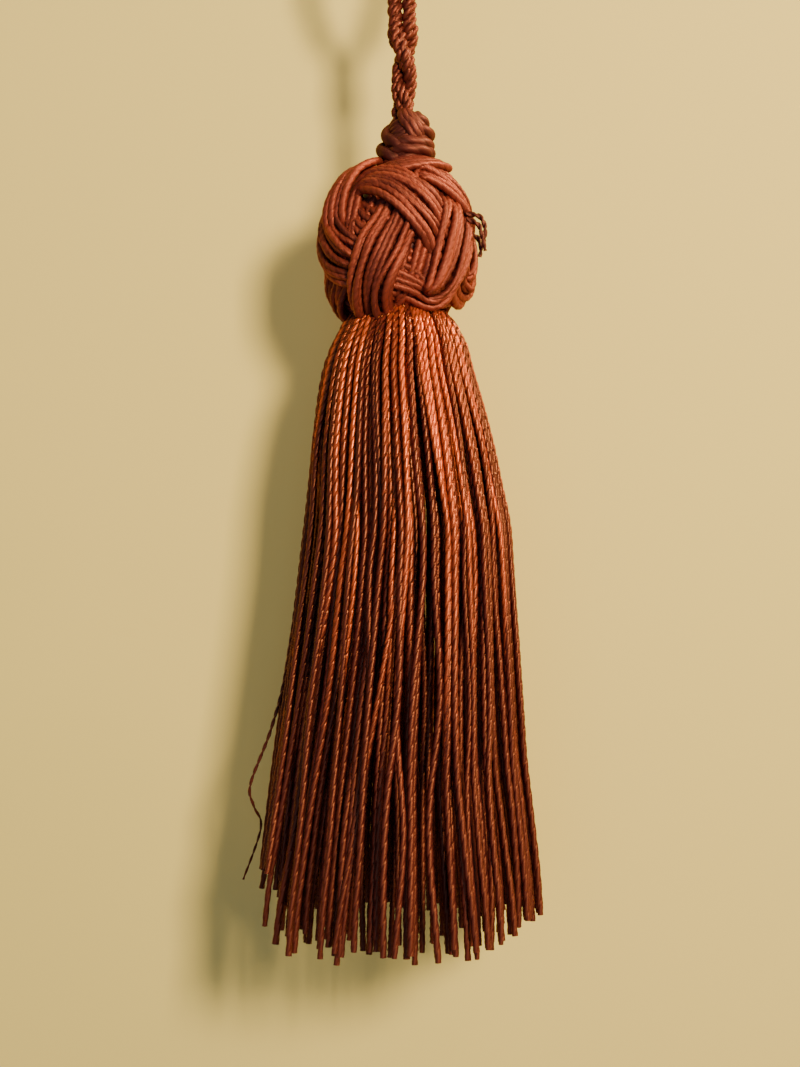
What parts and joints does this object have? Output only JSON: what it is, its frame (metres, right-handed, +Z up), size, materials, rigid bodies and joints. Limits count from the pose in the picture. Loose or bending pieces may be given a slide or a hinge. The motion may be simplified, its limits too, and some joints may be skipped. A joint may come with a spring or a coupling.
{
  "type": "hanging tassel",
  "caption": "Satin yarn tassel: a twisted cord loop, a neck wrap, a Turk's-head knotted ball and a full skirt of twisted strands.",
  "frame": {"origin": "inner top of the hanging loop's eye, where a hook bears", "axes": "+Z up along the hanging tassel, -Y the face that the picture shows"},
  "size_m": [0.0407, 0.0394, 0.1439],
  "materials": {
    "loop_cord": "satin twisted viscose cord, copper rust",
    "neck_cord": "satin viscose cord, wound close",
    "head_cord": "satin viscose cord, soft laid",
    "skirt_strand": "glossy two-ply viscose strands"
  },
  "bodies": {
    "root": {"hanging_loop": "loop_cord", "neck_wrap": "neck_cord", "head_knot": "head_cord", "skirt": "skirt_strand"}
  },
  "joints": []
}
